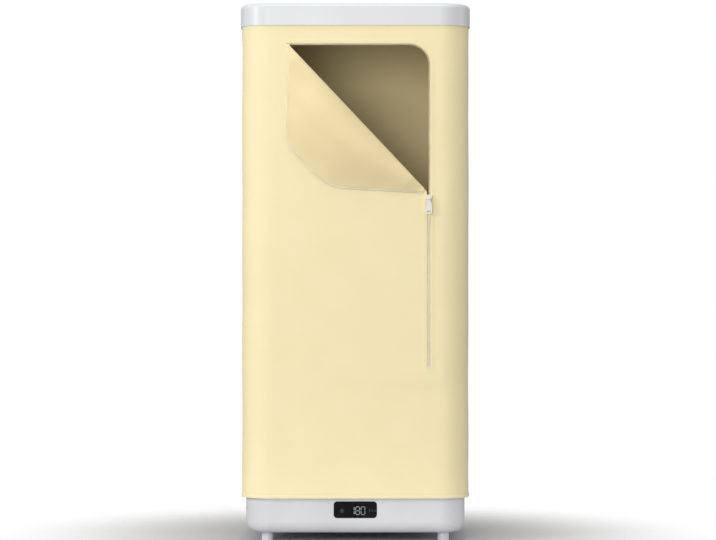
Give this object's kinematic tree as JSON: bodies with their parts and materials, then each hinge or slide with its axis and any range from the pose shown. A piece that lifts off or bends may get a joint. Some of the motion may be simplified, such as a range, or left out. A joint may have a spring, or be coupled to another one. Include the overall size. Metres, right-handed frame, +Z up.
{
  "type": "drying cabinet",
  "caption": "Free-standing clothes drying cabinet: fan heater base, fabric cover with a zipped doorway peeled open at one corner, moulded lid and inner hanging rail.",
  "frame": {"origin": "on the floor, in the middle of the rectangle of the four feet", "axes": "+Z up, the doorway faces -Y, +X to the right seen from the front"},
  "size_m": [0.6, 0.4793, 1.4],
  "materials": {
    "lid_plastic": "fine satin white moulding",
    "inner_plastic": "light grey moulding",
    "tube_paint": "white powder coat",
    "rail_chrome": "bright plated tube",
    "cover_fabric": "smooth coated polyester, cream outside and khaki inside",
    "zip_tape_fabric": "woven polyester tape",
    "zip_teeth_nylon": "nylon coil",
    "zip_metal": "light grey enamel on zinc",
    "base_plastic": "light grey moulding, fine satin",
    "pad_rubber": "dark grey rubber",
    "screw_steel": "zinc plated",
    "fan_plastic": "black glass-filled moulding",
    "filter_foam": "open black foam",
    "motor_steel": "zinc plated can",
    "heater_frame_plastic": "heat-resisting brown moulding",
    "heater_aluminium": "bare aluminium",
    "display_glass": "smoked black, polished",
    "display_black": "black with light segments",
    "board_green": "green solder mask",
    "gland_black": "black nylon"
  },
  "bodies": {
    "root": {"lid_cap": "lid_plastic", "lid_frame": "inner_plastic", "rail_bracket_left": "inner_plastic", "rail_bracket_right": "inner_plastic", "lid_sockets": "inner_plastic", "deck_sockets": "inner_plastic", "base_deck": "inner_plastic", "upright_coupler_front_left": "inner_plastic", "upright_coupler_front_right": "inner_plastic", "upright_coupler_rear_left": "inner_plastic", "upright_coupler_rear_right": "inner_plastic", "upright_lower_front_left": "tube_paint", "upright_lower_front_right": "tube_paint", "upright_lower_rear_left": "tube_paint", "upright_lower_rear_right": "tube_paint", "upright_upper_front_left": "tube_paint", "upright_upper_front_right": "tube_paint", "upright_upper_rear_left": "tube_paint", "upright_upper_rear_right": "tube_paint", "hanging_rail": "rail_chrome", "cover_front": "cover_fabric", "cover_back": "cover_fabric", "cover_left": "cover_fabric", "cover_right": "cover_fabric", "cover_corners": "cover_fabric", "zip_facing": "cover_fabric", "zip_tape": "zip_tape_fabric", "zip_teeth_open": "zip_teeth_nylon", "zip_chain": "zip_teeth_nylon", "zip_bottom_stop": "zip_metal", "base_tray": "base_plastic", "foot_front_left": "base_plastic", "foot_front_right": "base_plastic", "foot_rear_left": "base_plastic", "foot_rear_right": "base_plastic", "foot_pads": "pad_rubber", "lid_screws": "screw_steel", "bracket_screws": "screw_steel", "base_screws": "screw_steel", "foot_screws": "screw_steel", "fan_screws": "screw_steel", "fan_shroud": "fan_plastic", "filter_frame": "fan_plastic", "outlet_grille": "fan_plastic", "filter_foam": "filter_foam", "fan_motor": "motor_steel", "heater_frame": "heater_frame_plastic", "heater_fins": "heater_aluminium", "thermal_cutout": "heater_aluminium", "display_window": "display_glass", "display_module": "display_black", "control_board": "board_green", "power_board": "board_green", "cable_gland": "gland_black"},
    "flap": {"front_flap": "cover_fabric", "zip_tape_flap": "zip_tape_fabric"},
    "slider": {"zip_slider": "zip_metal"},
    "pull": {"zip_pull": "zip_metal"},
    "fan": {"fan_shaft": "screw_steel", "fan_impeller": "fan_plastic"}
  },
  "joints": [
    {"name": "flap_fold", "type": "hinge", "parent": "root", "child": "flap", "pos_m": [0.01004, -0.2278, 1.10011], "axis": [-0.6863, 0, 0.7273], "range_deg": [0, 180]},
    {"name": "zip_slide", "type": "slide", "parent": "root", "child": "slider", "axis": [0, 0, -1], "range_m": [0, 0.424]},
    {"name": "pull_swing", "type": "hinge", "parent": "slider", "child": "pull", "pos_m": [0.1905, -0.2311, 0.89285], "axis": [-1, 0, 0], "range_deg": [0, 140]},
    {"name": "fan_spin", "type": "hinge", "parent": "root", "child": "fan", "pos_m": [0, 0, 0.05], "axis": [0, 0, 1], "continuous": true}
  ]
}
